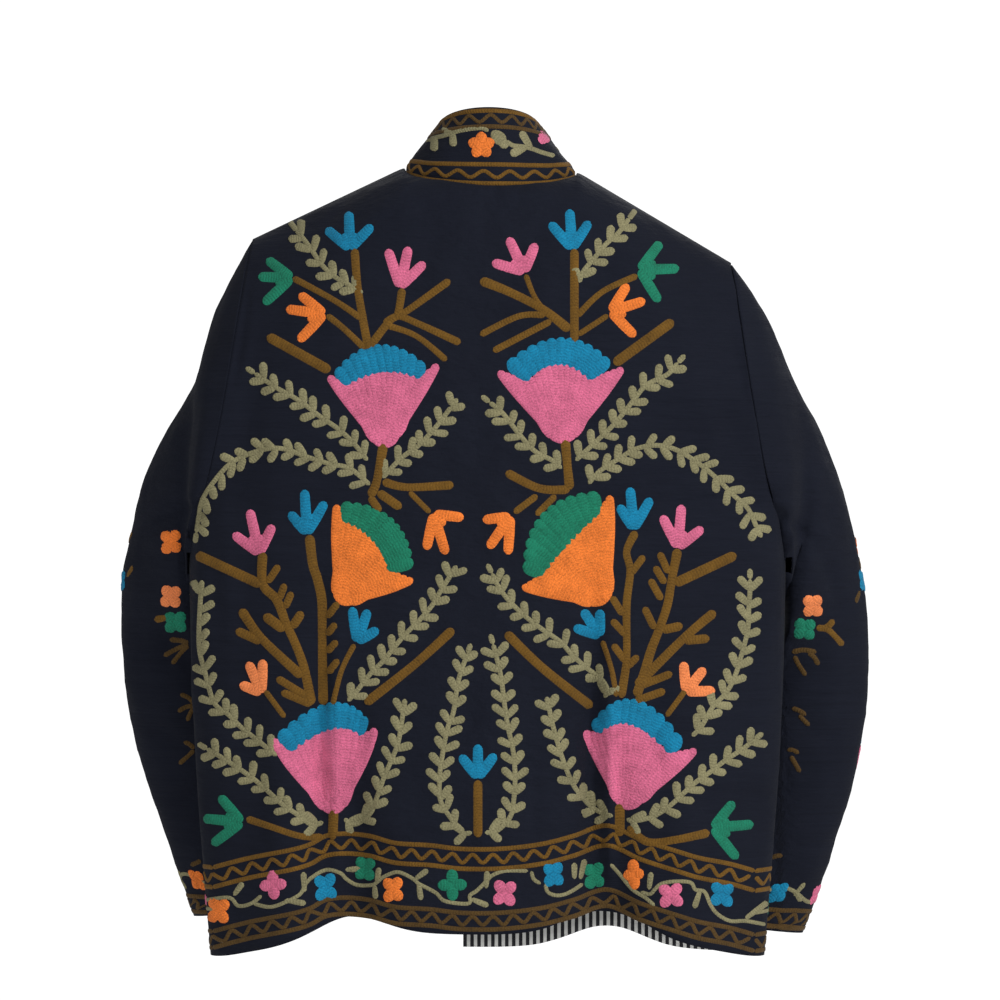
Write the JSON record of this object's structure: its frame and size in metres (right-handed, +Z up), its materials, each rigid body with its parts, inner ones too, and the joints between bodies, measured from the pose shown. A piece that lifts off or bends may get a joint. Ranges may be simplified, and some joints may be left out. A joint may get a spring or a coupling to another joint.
{
  "type": "embroidered stand-collar jacket, filled out with no wearer",
  "caption": "Short boxy cotton jacket with a stand collar, filled out and hollow, its cloth worked all over with chain-stitch flowers, vines and zigzag borders.",
  "frame": {"origin": "between the shoulders, level with the seam of the collar at the back of the neck, where the wearer's neck and shoulders hold the jacket up", "axes": "+Z up; the fronts face +Y and the back -Y; +X is the wearer's right"},
  "size_m": [0.6694, 0.2064, 0.7394],
  "materials": {
    "shell_cloth": "matt plain-woven navy-black cotton",
    "collar_cloth": "the same cotton, mostly covered by brown and olive stitching",
    "lining_cloth": "black and white striped cotton"
  },
  "bodies": {
    "root": {"back": "shell_cloth", "front_right": "shell_cloth", "front_left": "shell_cloth", "sleeve_right": "shell_cloth", "sleeve_left": "shell_cloth", "collar": "collar_cloth", "lining_front_right": "lining_cloth"}
  },
  "joints": []
}
